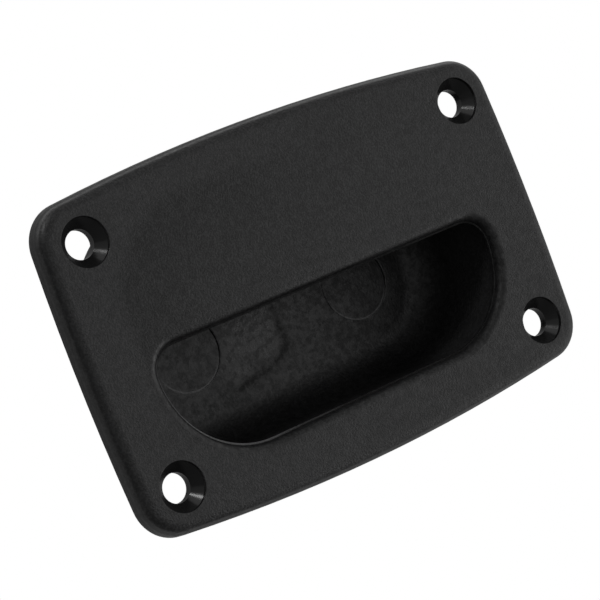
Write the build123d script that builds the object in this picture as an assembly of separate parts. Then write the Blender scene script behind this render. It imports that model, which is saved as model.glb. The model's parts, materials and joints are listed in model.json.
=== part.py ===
from build123d import *
import os
from math import radians, tan

# Recessed pull handle, moulded in one piece of black plastic.
#
# Millimetres. +X runs along the handle, +Y points towards the lip that the
# fingers hook behind, and +Z points out of the panel the handle is let into.
# The origin is the centre of the four screws, on the back of the flange.

# ---- Flange: the plate that lies on the panel ----
flange_length = 109.4       # across the middles of the short sides, at the back
flange_width = 70.6         # across the middles of the long sides, at the back
flange_thickness = 4.4
long_side_bow = 3.5         # how far a long side's middle stands out from its ends
short_side_bow = 1.0
flange_corner_radius = 8.0
flange_draft = 4.0          # degrees, the edge leans in towards the face
flange_edge_radius = 2.5    # rounding between edge and face

# ---- Screws: one near each corner, heads sunk in the face ----
screw_spacing_x = 90.0
screw_spacing_y = 48.0
screw_bore_diameter = 5.8
screw_head_diameter = 9.6
screw_head_angle = 90.0     # degrees, across the cone of the seat
screw_head_sink = 0.7       # straight wall above the cone

# ---- Mouth: the opening in the face that the fingers go through ----
mouth_width = 81.8
mouth_height = 24.1
mouth_top = 0.95            # its upper edge, above the centre of the screws
mouth_bottom_radius = 18.4
mouth_top_radius = 5.3
lip_radius = 1.7            # rounding of the mouth at the face
lip_thickness = 3.1         # the lip that the fingers hook behind
lip_rear_bevel = 0.8        # taken off its edge on the finger side
parting_land = 0.1          # from the rounding down to where the mould's two halves meet
parting_step = 0.35         # the fine ledge that they leave there

# ---- Pocket: the closed box behind the flange ----
pocket_depth = 24.4         # from the face to the floor
pocket_undercut = 25.3      # how far it reaches up behind the lip
pocket_ledge = 1.1          # how much wider it is than the mouth on the other sides
pocket_top_radius = 19.5
pocket_draft = 4.0          # degrees, the walls close in towards the floor
pocket_floor_radius = 7.8   # inside, between walls and floor
pocket_wall = 2.4

# ---- Pads: round marks of the two ejectors, pressed in the floor ----
pad_diameter = 15.6
pad_spacing = 43.0
pad_line = -3.2             # their centres, above the centre of the screws
pad_depth = 0.2

# ---- Back of the flange: hollowed between rim, corners and ribs ----
skin_thickness = 2.6        # what is left of the flange over a hollow
rim_width = 2.4
corner_block = 16.0         # square left solid round each screw
rib_thickness = 1.8
rib_pitch = 24.0            # along the two long sides

# ---- Heights and places that follow from the sizes above ----
face_z = flange_thickness
floor_z = face_z - pocket_depth
roof_z = face_z - lip_thickness
parting_z = face_z - lip_radius - parting_land
hollow_depth = flange_thickness - skin_thickness
mouth_bottom = mouth_top - mouth_height
side_room = mouth_height - mouth_top_radius - parting_step
low_corner = min(mouth_bottom_radius, side_room)
pocket_bottom = mouth_bottom - pocket_ledge
pocket_top = mouth_top + pocket_undercut
screw_places = GridLocations(screw_spacing_x, screw_spacing_y, 2, 2)
overcut = 1.0               # how far a cutter runs past the face it opens


def straight_box(outline, low, high):
    """Stand a flat outline up between two heights."""
    return Pos(0, 0, low) * extrude(outline, high - low)


def inner_edge(body, height):
    """The edge of the opening in a body's level face at the given height."""
    level_faces = body.faces().filter_by(Plane.XY)
    face = min(level_faces, key=lambda one: abs(one.center().Z - height))
    return face.inner_wires()[0].edges()


def rounded_panel(width, low, high, low_radius, high_radius):
    """A panel with one radius on its two lower corners and one on its upper two."""
    panel = Pos(0, (low + high) / 2) * Rectangle(width, high - low)
    panel = fillet(panel.vertices().group_by(Axis.Y)[-1], high_radius)
    return fillet(panel.vertices().group_by(Axis.Y)[0], low_radius)


def mouth_outline(inset=0.0):
    """The opening where it leaves the rounding of the lip."""
    return rounded_panel(mouth_width - 2 * inset, mouth_bottom + inset, mouth_top - inset,
                         low_corner - inset, mouth_top_radius - inset)


def pocket_outline(grow=0.0):
    """The pocket at the back of the flange: wider than the mouth, and far higher."""
    wider = pocket_ledge + grow
    return rounded_panel(mouth_width + 2 * wider, pocket_bottom - grow, pocket_top + grow,
                         low_corner + wider, pocket_top_radius + grow)


def flange_outline(inset=0.0):
    """A rectangle whose four sides bow out, with rounded corners."""
    middle_x = flange_length / 2 - inset
    middle_y = flange_width / 2 - inset
    corner_x = middle_x - short_side_bow
    corner_y = middle_y - long_side_bow
    bottom = ThreePointArc((-corner_x, -corner_y), (0, -middle_y), (corner_x, -corner_y))
    right = ThreePointArc((corner_x, -corner_y), (middle_x, 0), (corner_x, corner_y))
    top = ThreePointArc((corner_x, corner_y), (0, middle_y), (-corner_x, corner_y))
    left = ThreePointArc((-corner_x, corner_y), (-middle_x, 0), (-corner_x, -corner_y))
    outline = make_face([bottom, right, top, left])
    return fillet(outline.vertices(), flange_corner_radius - inset)


def flange():
    """The plate, with its drafted and rounded edge, the mouth and the lip round it.

    The mouth is cut through in two halves that meet in a fine ledge, and the
    pocket's outline is then sunk into the back, which leaves the lip. The
    lip's edge is rounded in front and bevelled behind.
    """
    plate = extrude(flange_outline(), flange_thickness, taper=flange_draft)
    plate = fillet(plate.faces().sort_by(Axis.Z)[-1].edges(), flange_edge_radius)
    plate -= straight_box(mouth_outline(), parting_z, face_z + overcut)
    plate -= straight_box(mouth_outline(parting_step), -overcut, parting_z)
    plate -= straight_box(pocket_outline(), -overcut, roof_z)
    plate = chamfer(inner_edge(plate, roof_z), lip_rear_bevel)
    return fillet(inner_edge(plate, face_z), lip_radius)


def hanging_box(depth, grow, floor_radius):
    """A box hung from the back of the flange, drafted, with its floor edge rounded."""
    box = extrude(pocket_outline(grow), depth, taper=pocket_draft)
    box = fillet(box.faces().sort_by(Axis.Z)[-1].edges(), floor_radius)
    return mirror(box, about=Plane.XY)


def pocket():
    """The tub behind the flange: one drafted box with a smaller one taken out."""
    depth_inside = -floor_z
    inside = hanging_box(depth_inside, 0, pocket_floor_radius)
    outside = hanging_box(depth_inside + pocket_wall, pocket_wall,
                          pocket_floor_radius + pocket_wall)
    return outside - inside


def pads():
    """The two round marks in the pocket's floor."""
    mark = Cylinder(pad_diameter / 2, pad_depth + overcut)
    middle_z = floor_z + (overcut - pad_depth) / 2
    return [Pos(x, pad_line, middle_z) * mark for x in (-pad_spacing / 2, pad_spacing / 2)]


def screw_seat():
    """Half the section of a bore and its countersink, turned about the screw's axis."""
    bore = screw_bore_diameter / 2
    head = screw_head_diameter / 2
    cone_top = face_z - screw_head_sink
    cone_foot = cone_top - (head - bore) / tan(radians(screw_head_angle / 2))
    section = Polyline((0, -overcut), (bore, -overcut), (bore, cone_foot), (head, cone_top),
                       (head, face_z + overcut), (0, face_z + overcut), close=True)
    return revolve(make_face(Plane.XZ * section), Axis.Z)


def hollows():
    """Shallow hollows in the back of the flange, which keep its walls even."""
    area = flange_outline(rim_width) - pocket_outline(pocket_wall)
    for place in screw_places:
        area -= place * Rectangle(corner_block, corner_block)
    for x in (-rib_pitch, 0, rib_pitch):
        area -= Pos(x, 0) * Rectangle(rib_thickness, flange_width)
    area -= Rectangle(flange_length, rib_thickness)
    return straight_box(area, -overcut, hollow_depth)


def pull_handle():
    """The whole handle."""
    body = flange() - hollows() + pocket()
    seat = screw_seat()
    body -= [place * seat for place in screw_places]
    return body - pads()


os.makedirs("parts", exist_ok=True)
export_step(pull_handle(), "parts/pull_handle.step")
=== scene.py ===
# %% [markdown]
# # A recessed pull handle in black moulded plastic
#
# The handle is one moulded piece. A plate with four screw holes lies on the
# panel, and a deep pocket hangs behind it for the fingers. Its shape is
# finished already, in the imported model, so this lesson is about light and
# about one material: a black plastic that is plain only at first sight.

# %% Load the finished shape
import json
from math import pi

import bpy
from mathutils import Matrix, Vector


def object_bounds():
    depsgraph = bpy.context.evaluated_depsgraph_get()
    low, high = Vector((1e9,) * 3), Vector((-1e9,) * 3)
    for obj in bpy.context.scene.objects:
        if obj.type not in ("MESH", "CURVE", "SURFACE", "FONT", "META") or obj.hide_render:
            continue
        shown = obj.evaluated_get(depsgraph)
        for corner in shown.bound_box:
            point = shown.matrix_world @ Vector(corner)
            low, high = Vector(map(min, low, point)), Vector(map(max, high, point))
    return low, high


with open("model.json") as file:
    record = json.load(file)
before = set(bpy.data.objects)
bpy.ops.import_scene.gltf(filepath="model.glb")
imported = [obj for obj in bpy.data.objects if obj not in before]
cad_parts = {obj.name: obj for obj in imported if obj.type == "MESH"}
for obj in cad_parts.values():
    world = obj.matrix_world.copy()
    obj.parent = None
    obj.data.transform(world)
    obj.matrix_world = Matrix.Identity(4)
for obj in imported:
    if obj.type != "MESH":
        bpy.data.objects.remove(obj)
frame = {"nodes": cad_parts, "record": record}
cad_low, cad_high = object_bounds()
handle = frame["nodes"]["pull_handle"]
print("box of the part, mm:", [round(1000 * v, 1) for v in (*cad_low, *cad_high)])
print("faces:", len(handle.data.polygons), "material slots:", len(handle.material_slots))

# %% [markdown]
# ## The view
#
# The handle is seen from its left and from a little over a third of a metre
# away, through a long lens, so the plate looks narrower than it is and its
# edges stay nearly parallel. The camera is rolled, because the handle was laid
# down askew. Euler angles for such a view are hard to read, so the matrix is
# written from the line of sight and the upward direction instead. A camera
# looks along its own -Z.

# %% Camera
eye = Vector((-0.220999, 0.016659, 0.355468))
sight = Vector((0.519857, -0.042718, -0.853185)).normalized()
upward = Vector((0.333105, 0.929826, 0.156410))
across = sight.cross(upward).normalized()
upward = across.cross(sight)

lens = bpy.data.cameras.new("long_lens")
lens.sensor_width = 36.0
lens.lens = 129.12
lens.clip_start = 0.01
lens.clip_end = 50.0
camera = bpy.data.objects.new("camera", lens)
bpy.context.scene.collection.objects.link(camera)
camera.matrix_world = Matrix.Translation(eye) @ Matrix(
    (across, upward, -sight)
).transposed().to_4x4()
bpy.context.scene.camera = camera
print("camera to part, mm:", round(1000 * (eye - (cad_low + cad_high) / 2).length))

# %% [markdown]
# ## Helpers for node trees
#
# Every finish below is a chain of small sums. Writing each node out in full
# would take five lines a sum, so a few helpers do it. One feeds a socket with
# a number or with another node's output, and one adds a Math node. The rest
# build on these: a product, a sum of shares, a mask turned into a swing, a
# diagonal, a smooth step from 0 to 1, and a blend of two values by a mask.

# %% Helpers for node trees
def feed(tree, socket, value):
    """Set a socket to a number, or link another node's output to it."""
    if isinstance(value, (int, float)):
        socket.default_value = value
    else:
        tree.links.new(value, socket)


def calc(tree, operation, *values):
    """Add a Math node and give its result."""
    node = tree.nodes.new("ShaderNodeMath")
    node.operation = operation
    for socket, value in zip(node.inputs, values):
        feed(tree, socket, value)
    return node.outputs[0]


def times(tree, first, *others):
    """The product of two or more values."""
    product = first
    for value in others:
        product = calc(tree, "MULTIPLY", product, value)
    return product


def plus(tree, start, *shares):
    """A value with more values added, each given as a pair with its share."""
    total = start
    for value, share in shares:
        total = calc(tree, "ADD", total, calc(tree, "MULTIPLY", value, share))
    return total


def swing(tree, mask):
    """A mask from 0 to 1, shifted to run from -0.5 to 0.5."""
    return calc(tree, "SUBTRACT", mask, 0.5)


def diagonal(tree, across, up):
    """The distance that two sides at a right angle span."""
    squares = [calc(tree, "POWER", side, 2.0) for side in (across, up)]
    return calc(tree, "SQRT", calc(tree, "ADD", *squares))


def fade(tree, value, start, stop):
    """0 before start and 1 past stop, with a smooth run between them."""
    node = tree.nodes.new("ShaderNodeMapRange")
    node.interpolation_type = "SMOOTHSTEP"
    feed(tree, node.inputs["Value"], value)
    feed(tree, node.inputs["From Min"], start)
    feed(tree, node.inputs["From Max"], stop)
    return node.outputs["Result"]


def between(tree, mask, first, second):
    """The first value where the mask is 0 and the second where it is 1."""
    node = tree.nodes.new("ShaderNodeMix")
    node.data_type = "FLOAT"
    for name, value in (("Factor", mask), ("A", first), ("B", second)):
        feed(tree, node.inputs[name], value)
    return node.outputs["Result"]


def new_material(name):
    """A material with an empty node tree, its tree and its output node."""
    material = bpy.data.materials.new(name)
    material.use_nodes = True
    material.node_tree.nodes.clear()
    output = material.node_tree.nodes.new("ShaderNodeOutputMaterial")
    return material, material.node_tree, output


helpers = (feed, calc, times, plus, swing, diagonal, fade, between, new_material)
print("helpers:", ", ".join(helper.__name__ for helper in helpers))

# %% [markdown]
# ## The floor
#
# A white sweep lies under the part, overexposed so that it shows as plain
# white, also through the screw holes. A floor that really glowed like that
# would light the plastic from below far too much. So the eye gets one answer
# and the part another: camera rays see white, and all other rays meet paper
# whose glow is painted light and a painted shadow: dim near the part, where its
# shadow would fall, and stronger away from it, most of all on the side of the
# lip, where the lamps' light falls on it. From below the floor is clear, so
# that the back of the handle can be looked at too. It lies a hair under the
# part, because two faces in one plane would mix. A real paper sweep with a bend
# would do as well, but its far side would have to be lit evenly.

# %% Floor
floor_half = 3.0
floor_height = cad_low.z - 0.0001
painted_shadow_glow = 0.11
painted_light_far = 0.22
painted_light_towards_lip = 1.40
painted_light_away_from_lip = 0.36

floor_mesh = bpy.data.meshes.new("floor")
floor_mesh.from_pydata(
    [(x * floor_half, y * floor_half, floor_height) for x, y in ((-1, -1), (1, -1), (1, 1), (-1, 1))],
    [], [(0, 1, 2, 3)])
floor = bpy.data.objects.new("floor", floor_mesh)
bpy.context.scene.collection.objects.link(floor)

sweep, tree, output = new_material("white_sweep")
place = tree.nodes.new("ShaderNodeTexCoord").outputs["Object"]
parts = tree.nodes.new("ShaderNodeSeparateXYZ")
tree.links.new(place, parts.inputs[0])
reach = tree.nodes.new("ShaderNodeVectorMath")
reach.operation = "LENGTH"
tree.links.new(place, reach.inputs[0])
# The paper's glow is painted: a painted shadow near the part, painted light where the lamps' light
# falls.
towards_lip = calc(tree, "DIVIDE", parts.outputs["Y"], reach.outputs["Value"])
lip_side = times(tree, fade(tree, towards_lip, 0.25, 0.95), painted_light_towards_lip)
other_side = times(tree, fade(tree, towards_lip, -0.25, -0.95), painted_light_away_from_lip)
far = calc(tree, "ADD", painted_light_far, calc(tree, "ADD", lip_side, other_side))
painted_floor_glow = between(tree, fade(tree, reach.outputs["Value"], 0.09, 0.13), painted_shadow_glow, far)

paper = tree.nodes.new("ShaderNodeBsdfPrincipled")
paper.inputs["Base Color"].default_value = (0.5, 0.5, 0.5, 1.0)
paper.inputs["Roughness"].default_value = 0.9
paper.inputs["Emission Color"].default_value = (1.0, 1.0, 1.0, 1.0)
tree.links.new(painted_floor_glow, paper.inputs["Emission Strength"])
white = tree.nodes.new("ShaderNodeEmission")
ray = tree.nodes.new("ShaderNodeLightPath")
choose = tree.nodes.new("ShaderNodeMixShader")
tree.links.new(ray.outputs["Is Camera Ray"], choose.inputs["Fac"])
tree.links.new(paper.outputs["BSDF"], choose.inputs[1])
tree.links.new(white.outputs["Emission"], choose.inputs[2])
clear = tree.nodes.new("ShaderNodeBsdfTransparent")
side = tree.nodes.new("ShaderNodeNewGeometry")
from_below = tree.nodes.new("ShaderNodeMixShader")
tree.links.new(side.outputs["Backfacing"], from_below.inputs["Fac"])
tree.links.new(choose.outputs["Shader"], from_below.inputs[1])
tree.links.new(clear.outputs["BSDF"], from_below.inputs[2])
tree.links.new(from_below.outputs["Shader"], output.inputs["Surface"])
floor_mesh.materials.append(sweep)
print("floor at, mm:", round(1000 * floor_height, 1))

# %% [markdown]
# ## The light
#
# Black plastic shows its lamps more than its colour. A tent of large soft
# lamps stands round the part, each nearly a metre wide. One stands where the
# plate mirrors it to the camera, so the plate reads as dark grey. The strongest
# large one is low at the right front. The side of the camera has only a weak
# one, so walls that face the camera go nearly black. One small and far brighter
# lamp at the upper left puts the short glints in the screw seats: a large lamp
# would smear them out. A picture of a studio wrapped round the scene could
# light it too, but separate lamps can be moved and dimmed one by one.

# %% Lights
def soft_lamp(name, towards, radiance, size=0.9, distance=1.5):
    """A square lamp, that many metres a side, that looks that bright to the part."""
    data = bpy.data.lights.new(name, "AREA")
    data.shape = "SQUARE"
    data.size = size
    data.energy = radiance * pi * size * size
    lamp = bpy.data.objects.new(name, data)
    bpy.context.scene.collection.objects.link(lamp)
    direction = Vector(towards).normalized()
    lamp.location = direction * distance
    lamp.rotation_euler = direction.to_track_quat("Z", "Y").to_euler()
    lamp.visible_camera = False
    print(name, "power, W:", round(data.energy, 2))
    return lamp


soft_lamp("mirrored_in_plate", (0.52, -0.04, 0.85), 0.53)
soft_lamp("overhead", (0, 0, 1), 0.429)
soft_lamp("right", (0.9, 0, 0.43), 0.736)
soft_lamp("right_behind", (0.75, 0.5, 0.43), 0.501)
soft_lamp("right_front", (0.75, -0.5, 0.43), 1.404)
soft_lamp("behind_left", (-0.3, 0.85, 0.43), 0.56)
soft_lamp("left_behind", (-0.65, 0.55, 0.5), 0.16)
soft_lamp("weak_fill", (-0.52, 0, 0.85), 0.12)
soft_lamp("glint", (-0.48, 0.78, 0.43), 10.0, size=0.20)

# %% [markdown]
# ## Behind the lamps
#
# The world fills the gaps between the lamps with a weak even light. To the
# camera it is white, so the sweep has no horizon. More lamps could fill the
# gaps as well, but each would add a reflection of its own.

# %% World
world = bpy.data.worlds.new("studio")
bpy.context.scene.world = world
world.use_nodes = True
tree = world.node_tree
tree.nodes.clear()
dim = tree.nodes.new("ShaderNodeBackground")
dim.inputs["Color"].default_value = (1.0, 1.0, 1.0, 1.0)
dim.inputs["Strength"].default_value = 0.096
backdrop = tree.nodes.new("ShaderNodeBackground")
backdrop.inputs["Color"].default_value = (1.0, 1.0, 1.0, 1.0)
backdrop.inputs["Strength"].default_value = 1.0
ray = tree.nodes.new("ShaderNodeLightPath")
choose = tree.nodes.new("ShaderNodeMixShader")
sky = tree.nodes.new("ShaderNodeOutputWorld")
tree.links.new(ray.outputs["Is Camera Ray"], choose.inputs["Fac"])
tree.links.new(dim.outputs["Background"], choose.inputs[1])
tree.links.new(backdrop.outputs["Background"], choose.inputs[2])
tree.links.new(choose.outputs["Shader"], sky.inputs["Surface"])
bpy.context.scene.view_settings.view_transform = "Standard"
print("view transform:", bpy.context.scene.view_settings.view_transform)

# %% [markdown]
# ## Effects as node groups
#
# The same few effects come back all over the part with other values: a grain,
# a soft cloud, a fine line, and the distance to a rounded outline. Each is
# built once as a group with named inputs and outputs. A group gives out masks
# and heights only, and the shader itself stays in the material. Copying the
# nodes for each region would work too, but then a change has to be made in
# every copy.

# %% A new group
def new_group(name, inputs, outputs):
    """A shader node group, with its inputs and outputs by name."""
    group = bpy.data.node_groups.new(name, "ShaderNodeTree")
    for label in inputs:
        kind = "NodeSocketVector" if label == "Place" else "NodeSocketFloat"
        group.interface.new_socket(label, in_out="INPUT", socket_type=kind)
    for label in outputs:
        group.interface.new_socket(label, in_out="OUTPUT", socket_type="NodeSocketFloat")
    given = group.nodes.new("NodeGroupInput").outputs
    result = group.nodes.new("NodeGroupOutput").inputs
    return group, given, result


def use_group(tree, group, **values):
    """Place a group in a tree, with a value for each input, and give its outputs."""
    node = tree.nodes.new("ShaderNodeGroup")
    node.node_tree = group
    for name, value in values.items():
        feed(tree, node.inputs[name], value)
    return node.outputs


def noise(tree, place, scale, detail, roughness=0.5):
    """A Noise texture, from about 0 to about 1 with its middle at 0.5."""
    node = tree.nodes.new("ShaderNodeTexNoise")
    tree.links.new(place, node.inputs["Vector"])
    feed(tree, node.inputs["Scale"], scale)
    node.inputs["Detail"].default_value = detail
    node.inputs["Roughness"].default_value = roughness
    return node.outputs["Fac"]


def stretch(tree, place, x, y, z):
    """The place, scaled along each axis."""
    node = tree.nodes.new("ShaderNodeVectorMath")
    node.operation = "MULTIPLY"
    tree.links.new(place, node.inputs[0])
    node.inputs[1].default_value = (x, y, z)
    return node.outputs["Vector"]


print("groups so far:", len(bpy.data.node_groups))

# %% [markdown]
# ## Grain
#
# Moulds for such parts are often spark-eroded, and the plastic comes out
# covered with tiny rounded bumps of many sizes. Real bumps would take millions
# of faces. A height that only bends the light looks the same from here. Two
# layers of noise and a layer of Voronoi cells, all about as large as the Size
# in millimetres, give it. The second output picks the highest spots, which
# look a little paler.

# %% Group: grain
grain, given, result = new_group("moulded_grain", ["Place", "Size"], ["Height", "Spots"])
per_mm = calc(grain, "DIVIDE", 1.0, given["Size"])
rolling = noise(grain, given["Place"], per_mm, 2.0, 0.65)
fine = noise(grain, given["Place"], times(grain, per_mm, 2.7), 1.0)
cells = grain.nodes.new("ShaderNodeTexVoronoi")
grain.links.new(given["Place"], cells.inputs["Vector"])
grain.links.new(per_mm, cells.inputs["Scale"])
height = plus(grain, times(grain, rolling, 0.55), (fine, 0.20), (cells.outputs["Distance"], 0.25))
grain.links.new(height, result["Height"])
grain.links.new(fade(grain, height, 0.46, 0.60), result["Spots"])
print(grain.name, "nodes:", len(grain.nodes))

# %% [markdown]
# ## Clouds
#
# Melted plastic doesn't copy the mould equally well everywhere, so large soft
# patches are a little glossier or duller than their neighbours. They could be
# painted by hand, but they are everywhere and none matters by itself. One noise
# with some detail, cut to a mask, is enough. A large size makes the plate
# uneven, and a small one mottles the pocket's floor.

# %% Group: clouds
clouds, given, result = new_group("soft_clouds", ["Place", "Size"], ["Mask"])
drifting = noise(clouds, given["Place"], calc(clouds, "DIVIDE", 1.0, given["Size"]), 3.0, 0.6)
clouds.links.new(fade(clouds, drifting, 0.36, 0.64), result["Mask"])
print(clouds.name, "nodes:", len(clouds.nodes))

# %% [markdown]
# ## Fine lines
#
# Ejectors, mould joints and flow fronts all leave lines. Each could be drawn
# on the mesh, but a line thinner than the mesh's faces needs no faces of its
# own: if the distance to it is known, the line is a mask that is 1 on it and
# fades out over its half width. There are many such lines, so placing the group
# has a helper of its own.

# %% Group: fine line
fine_line, given, result = new_group("fine_line", ["Distance", "Width"], ["Mask"])
aside = calc(fine_line, "ABSOLUTE", given["Distance"])
fine_line.links.new(fade(fine_line, aside, given["Width"], 0.0), result["Mask"])


def line(tree, distance, width):
    """The mask of a fine line, from the distance to it and its half width."""
    return use_group(tree, fine_line, Distance=distance, Width=width)["Mask"]


print(fine_line.name, "nodes:", len(fine_line.nodes))

# %% [markdown]
# ## Distance to a rounded outline
#
# The pocket has the outline of a rectangle with large round corners. The
# distance to that outline has a short formula: fold the part's plane onto one
# corner, measure to the corner's centre and take off its radius. It is
# negative inside, and it serves the pocket's walls, its floor, the mouth and
# the mark that the walls leave on the face. Measuring to the mesh itself would
# need another tool, and the formula is exact.

# %% Group: distance to a rounded outline
outline, given, result = new_group(
    "outline_distance", ["Place", "HalfWidth", "Low", "High", "Radius"], ["Distance"])
parts = outline.nodes.new("ShaderNodeSeparateXYZ")
outline.links.new(given["Place"], parts.inputs[0])
half_sum = times(outline, calc(outline, "ADD", given["Low"], given["High"]), 0.5)
half_height = calc(outline, "SUBTRACT", given["High"], half_sum)
fold_x = calc(outline, "ABSOLUTE", parts.outputs["X"])
fold_y = calc(outline, "ABSOLUTE", calc(outline, "SUBTRACT", parts.outputs["Y"], half_sum))
corner_x = calc(outline, "SUBTRACT", given["HalfWidth"], given["Radius"])
corner_y = calc(outline, "SUBTRACT", half_height, given["Radius"])
over_x = calc(outline, "SUBTRACT", fold_x, corner_x)
over_y = calc(outline, "SUBTRACT", fold_y, corner_y)
past_x = calc(outline, "MAXIMUM", over_x, 0.0)
past_y = calc(outline, "MAXIMUM", over_y, 0.0)
to_corner = diagonal(outline, past_x, past_y)
within = calc(outline, "MINIMUM", calc(outline, "MAXIMUM", over_x, over_y), 0.0)
distance = calc(outline, "SUBTRACT", calc(outline, "ADD", to_corner, within), given["Radius"])
outline.links.new(distance, result["Distance"])
print(outline.name, "nodes:", len(outline.nodes))

# %% [markdown]
# ## Where is what
#
# The part is one piece with one material, yet its regions left different
# faces of the mould: the grained front, the smooth seats, the pocket and the
# plain back. Material slots could tell them apart, but a slot ends at an edge
# of the mesh, and some of these borders have none. The part never deforms, so
# a place on it does as well. The material works in millimetres from here on,
# with the sizes of the solid. The inside of the pocket is told from its outside
# by the surface's direction: inside, it looks towards the pocket's middle.

# %% Regions of the part
screws = next(m for m in frame["record"]["mounts"] if m["name"] == "screws")["dims"]
screw_x = screws["spacing_x_mm"] / 2
screw_y = screws["spacing_y_mm"] / 2
seat_radius = 4.8
pocket_wall = 2.4
face_z = 1000 * cad_high.z
floor_z = 1000 * cad_low.z + pocket_wall
pocket_half, pocket_low, pocket_high, pocket_radius = 42.0, -24.25, 26.25, 19.5
pocket_middle = (0.0, 1.0, 1.0)

plastic, tree, output = new_material("black_moulded_plastic")
metres = tree.nodes.new("ShaderNodeTexCoord").outputs["Object"]
place = stretch(tree, metres, 1000, 1000, 1000)
parts = tree.nodes.new("ShaderNodeSeparateXYZ")
tree.links.new(place, parts.inputs[0])
x, y, z = (parts.outputs[axis] for axis in "XYZ")

normal = tree.nodes.new("ShaderNodeNewGeometry").outputs["Normal"]
facing = tree.nodes.new("ShaderNodeSeparateXYZ")
tree.links.new(normal, facing.inputs[0])

wall_distance = use_group(tree, outline, Place=place, HalfWidth=pocket_half, Low=pocket_low,
                          High=pocket_high, Radius=pocket_radius)["Distance"]
to_middle = tree.nodes.new("ShaderNodeVectorMath")
to_middle.operation = "SUBTRACT"
to_middle.inputs[0].default_value = pocket_middle
tree.links.new(place, to_middle.inputs[1])
looks_in = tree.nodes.new("ShaderNodeVectorMath")
looks_in.operation = "DOT_PRODUCT"
tree.links.new(to_middle.outputs["Vector"], looks_in.inputs[0])
tree.links.new(normal, looks_in.inputs[1])
inside = times(tree, fade(tree, looks_in.outputs["Value"], -0.2, 0.2),
               fade(tree, wall_distance, 0.8, 0.3))
not_inside = calc(tree, "SUBTRACT", 1.0, inside)

from_screw_x = calc(tree, "SUBTRACT", calc(tree, "ABSOLUTE", x), screw_x)
from_screw_y = calc(tree, "SUBTRACT", calc(tree, "ABSOLUTE", y), screw_y)
from_screw = diagonal(tree, from_screw_x, from_screw_y)
seat = fade(tree, from_screw, seat_radius + 0.12, seat_radius)
front = times(tree, fade(tree, z, 0.2, 1.6), not_inside)
print("screws at, mm:", screw_x, screw_y)
print("face at, mm:", round(face_z, 2), "pocket floor at, mm:", round(floor_z, 2))

# %% [markdown]
# ## The pocket showing through the face
#
# Plastic shrinks as it cools, and it shrinks most where a wall stands behind
# it, so a faint dent follows the pocket's outline on the face. Its light and
# shade are painted into the tone: painted shade in a slightly darker field
# within the border, painted light just outside it. It is clearest near the
# upper left and dies out towards the right. A dent in the mesh would be
# thinner than a hair, so the painted tone stands for it.

# %% Show-through
# Painted shade within the pocket's outline, painted light in a frame round it.
field = fade(tree, wall_distance, 2.6, -1.2)
depth_fade = fade(tree, wall_distance, -20.0, -2.0)
leftness = fade(tree, x, 26.0, -34.0)
painted_shade_field = times(tree, field, depth_fade, leftness)
painted_light_frame = times(tree, calc(tree, "SUBTRACT", 1.0, field), leftness)
painted_dent_shading = plus(tree, times(tree, painted_light_frame, 0.62), (painted_shade_field, -0.36))
painted_dent_shading = times(tree, painted_dent_shading, front, fade(tree, z, 3.0, 4.2))
print("field from", pocket_low, "to", pocket_high, "mm along Y")

# %% [markdown]
# ## Ejector marks
#
# Two ejectors push the part out of the mould and leave round marks. The solid
# has them as shallow discs, whose step is too fine to be seen by itself. So the
# material adds a groove round each, and the light that its lower arc catches.
# Both follow the distance to the disc's rim. The two marks mirror each other,
# so one side is made and X is taken without its sign.

# %% Ejector marks
ejector_x, ejector_y, ejector_radius = 21.5, -3.2, 7.8
on_floor = times(tree, inside, fade(tree, z, floor_z + 2.5, floor_z + 0.8))

from_ejector_x = calc(tree, "SUBTRACT", calc(tree, "ABSOLUTE", x), ejector_x)
from_ejector_y = calc(tree, "SUBTRACT", y, ejector_y)
from_ejector = diagonal(tree, from_ejector_x, from_ejector_y)
from_rim = calc(tree, "SUBTRACT", from_ejector, ejector_radius)
lower_arc = fade(tree, from_ejector_y, -1.5, -5.5)
rim_line = times(tree, line(tree, from_rim, 0.26), between(tree, lower_arc, 1.0, 0.3), on_floor)
inside_rim = calc(tree, "ADD", from_rim, 0.15)
rim_glint = times(tree, line(tree, inside_rim, 0.32), lower_arc, on_floor)
print("ejector marks at, mm:", ejector_x, ejector_y, "radius", ejector_radius)

# %% [markdown]
# ## The flow mark
#
# Where two streams of melt meet in the mould they leave a wavy dark line, and
# beside it a paler, glossier patch. A curve could draw the line, but the patch
# needs to know which side of it a place is on. So the line is where a distance
# is zero: the distance to a straight right edge, joined softly with that to a
# slanting lower edge, both shaken a little by a wide noise.

# %% Flow mark
patch_right = 0.9
patch_slope = 0.234
patch_drop = 11.15
waver = times(tree, swing(tree, noise(tree, place, 0.25, 1.0)), 1.8)
right_of_patch = calc(tree, "ADD", calc(tree, "SUBTRACT", x, patch_right), waver)
slant = calc(tree, "SUBTRACT", times(tree, x, patch_slope), patch_drop)
below_patch = calc(tree, "ADD", calc(tree, "SUBTRACT", slant, y), waver)
from_patch = calc(tree, "SMOOTH_MAX", right_of_patch, below_patch, 5.0)
patch_ends = times(tree, fade(tree, x, -16.0, -11.5), fade(tree, y, 2.0, -2.0))
flow_line = times(tree, line(tree, from_patch, 1.3), patch_ends, on_floor)
patch = times(tree, fade(tree, from_patch, -0.4, -2.6), fade(tree, x, -15.5, -10.5), on_floor)
print("the patch ends at, mm:", patch_right)

# %% [markdown]
# ## Painted highlight and shade at the right end
#
# At the right end the floor rises in a rounding to the wall. A painted
# highlight runs along that rounding, with a band of painted shade beside it.
# They run along the wall, so lines at a set distance from the wall's outline
# make them. Lamps could draw them as well, but they would move whenever the
# handle is turned.

# %% Painted highlight and shade bands
highlight_from_wall = 7.2
shade_from_wall = 10.0
right_end = times(tree, inside, fade(tree, x, 20.0, 29.0))
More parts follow.
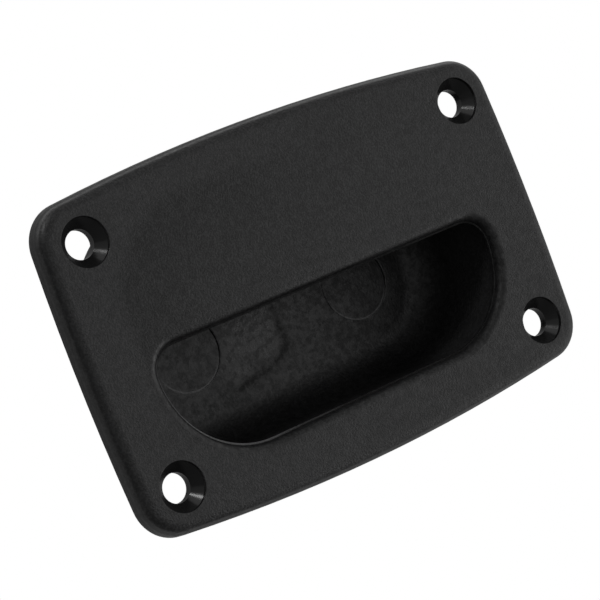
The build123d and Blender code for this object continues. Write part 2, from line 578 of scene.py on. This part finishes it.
# A painted highlight along the rounding, and painted shade beside it.
painted_highlight_band = line(tree, calc(tree, "ADD", wall_distance, highlight_from_wall), 1.5)
painted_shade_band = line(tree, calc(tree, "ADD", wall_distance, shade_from_wall), 1.8)
painted_bands = times(tree, plus(tree, times(tree, painted_highlight_band, 0.55), (painted_shade_band, -0.45)), right_end)
print("bands, mm from the wall:", highlight_from_wall, shade_from_wall)

# %% [markdown]
# ## The mould joint in the mouth
#
# The two halves of the mould meet inside the mouth, below its rounding, in a
# ledge a third of a millimetre wide. Along the lower left of the mouth a line
# at the joint is painted bright, a painted highlight like a wire against the
# dark pocket. Along the top and the lower right the ledge is dulled and given
# painted shade, so that it draws no second bright line. The ledge is in the
# mesh, but so thin a line is too fine for it. Both are told by their height,
# and the distance to the mouth's lower corners keeps them off the outer edge.

# %% Mould joint
mouth_half, mouth_low, mouth_corner = 40.9, -23.15, 18.4
above_corners = mouth_low + 2.05 * mouth_corner
joint_depth = 1.8
joint_z = face_z - joint_depth
from_mouth = use_group(tree, outline, Place=place, HalfWidth=mouth_half, Low=mouth_low,
                       High=above_corners, Radius=mouth_corner)["Distance"]
at_mouth = fade(tree, from_mouth, 1.0, 0.6)
# A painted highlight, thin as a wire, along the joint at the lower left.
from_joint = calc(tree, "SUBTRACT", z, joint_z)
joint_span = times(tree, fade(tree, x, -15.0, -24.0), fade(tree, y, -1.5, -6.0))
painted_highlight_at_joint = times(tree, line(tree, from_joint, 0.50), joint_span, at_mouth)

ledge = times(tree, fade(tree, z, joint_z + 0.12, joint_z + 0.04),
              fade(tree, z, joint_z - 0.12, joint_z - 0.04))
lower_right = times(tree, fade(tree, x, -12.0, -4.0), fade(tree, y, -16.0, -20.0))
dull_part = calc(tree, "MAXIMUM", fade(tree, y, -2.0, 0.0), lower_right)
# Painted shade and a duller gloss on the ledge along the top and the lower right.
dull_painted_shade_ledge = times(tree, ledge, dull_part, at_mouth)
print("joint at, mm:", round(joint_z, 2), "corner radius of the mouth, mm:", mouth_corner)

# %% [markdown]
# ## The height of the surface
#
# Each region now gets its share of the grain: most on the front, less in the
# pocket, little on the roundings and none in the seats. The outside of the
# pocket also has faint lines along its draw, where it slid out of the mould.
# The height is in millimetres and bends the light through a Bump node. Moving
# the mesh would need far more faces and would change the part's sizes.

# %% Height of the surface
face_grain = use_group(tree, grain, Place=place, Size=0.42)
pocket_grain = use_group(tree, grain, Place=stretch(tree, place, 1.0, 0.7, 1.0), Size=0.50)
tool_lines = noise(tree, stretch(tree, place, 1.0, 1.0, 0.04), 1.6, 3.0, 0.6)

not_seat = calc(tree, "SUBTRACT", 1.0, seat)
outside = times(tree, not_inside, calc(tree, "SUBTRACT", 1.0, front))
rounded = times(tree, fade(tree, facing.outputs["Z"], 0.97, 0.75), front)
front_grain = between(tree, rounded, 0.170, 0.040)
floor_grain = between(tree, patch, 0.100, 0.140)
amount = between(tree, inside, between(tree, front, 0.015, front_grain), floor_grain)
relief = between(tree, inside, face_grain["Height"], pocket_grain["Height"])
height = plus(tree, times(tree, relief, amount, not_seat), (times(tree, tool_lines, outside), 0.05),
              (rim_line, -0.07), (flow_line, -0.02))
bump = tree.nodes.new("ShaderNodeBump")
bump.inputs["Strength"].default_value = 1.0
bump.inputs["Distance"].default_value = 0.001
tree.links.new(height, bump.inputs["Height"])
print("nodes up to the height:", len(tree.nodes))

# %% [markdown]
# ## The tone of the plastic
#
# Black plastic isn't equally black everywhere: high spots and the patch beside
# the flow mark are paler, the flow line is darker, and clouds run through it.
# The same sum also carries painted light and shade: the pocket's dent on the
# face, the painted highlights at the joint, on the ejector rims, along the
# right end's rounding and on its wall, and painted shade beside that rounding
# and on the dulled ledge. One plain grey is multiplied up or down by a sum of
# small shares, one for each effect. Mixing a colour for each would work, but
# with black only the strength changes, and a sum shows at a glance which
# effect does how much.

# %% Tone of the plastic
plain_grey = 0.016
wide_clouds = swing(tree, use_group(tree, clouds, Place=place, Size=9.0)["Mask"])
small_clouds = swing(tree, use_group(tree, clouds, Place=place, Size=1.3)["Mask"])
face_spots = swing(tree, face_grain["Spots"])
pocket_spots = swing(tree, pocket_grain["Spots"])
# Painted light on the upper part of the pocket's wall at the right end.
painted_light_on_wall = times(tree, fade(tree, z, floor_z + 4.0, floor_z + 9.0), fade(tree, z, 1.0, -1.0), right_end)

face_tone = plus(tree, painted_dent_shading, (face_spots, 1.05), (small_clouds, 0.45))
floor_tone = plus(tree, between(tree, patch, 0.15, 0.95),
                  (small_clouds, between(tree, patch, 0.85, 1.3)),
                  (pocket_spots, between(tree, patch, 0.80, 1.20)),
                  (flow_line, -0.75), (painted_bands, 1.0), (painted_light_on_wall, 1.2), (rim_glint, 8.0))
tone = times(tree, between(tree, inside, face_tone, floor_tone), not_seat)
tone = plus(tree, calc(tree, "ADD", tone, 1.0), (painted_highlight_at_joint, 6.0), (dull_painted_shade_ledge, -0.75),
            (wide_clouds, 0.10))
grey = times(tree, calc(tree, "MAXIMUM", tone, 0.1), plain_grey)
colour = tree.nodes.new("ShaderNodeCombineColor")
tree.links.new(grey, colour.inputs["Red"])
tree.links.new(grey, colour.inputs["Green"])
tree.links.new(times(tree, grey, 1.02), colour.inputs["Blue"])
print("plain colour of the plastic:", plain_grey)

# %% [markdown]
# ## The gloss
#
# The gloss sets how sharp the lamps are mirrored: sharp in the seats, which a
# polished pin formed, and dull on the grain. On black plastic it does more than
# the colour, since most of the light that comes back is a reflection. A second,
# clear coat could make the sheen, but bare plastic has none, so the roughness
# alone does it, again as a sum of shares.

# %% Gloss
dull_back, dull_front, dull_pocket, dull_seat = 0.36, 0.45, 0.445, 0.18
outer_rim = times(tree, rounded, fade(tree, wall_distance, 2.0, 4.0))
near_wall = times(tree, right_end, fade(tree, wall_distance, -8.0, -5.0))
mottling = between(tree, inside, -0.07, between(tree, patch, -0.14, -0.20))
dull = between(tree, inside, between(tree, front, dull_back, dull_front), dull_pocket)
dull = plus(tree, dull, (wide_clouds, 0.05), (face_spots, 0.06), (outer_rim, -0.09),
            (small_clouds, mottling), (patch, -0.07), (flow_line, 0.13), (near_wall, 0.10),
            (dull_painted_shade_ledge, 0.42))
dull = between(tree, seat, dull, dull_seat)

shader = tree.nodes.new("ShaderNodeBsdfPrincipled")
tree.links.new(colour.outputs["Color"], shader.inputs["Base Color"])
tree.links.new(dull, shader.inputs["Roughness"])
tree.links.new(bump.outputs["Normal"], shader.inputs["Normal"])
tree.links.new(shader.outputs["BSDF"], output.inputs["Surface"])
handle.data.materials.clear()
handle.data.materials.append(plastic)
print(plastic.name, "nodes:", len(tree.nodes))
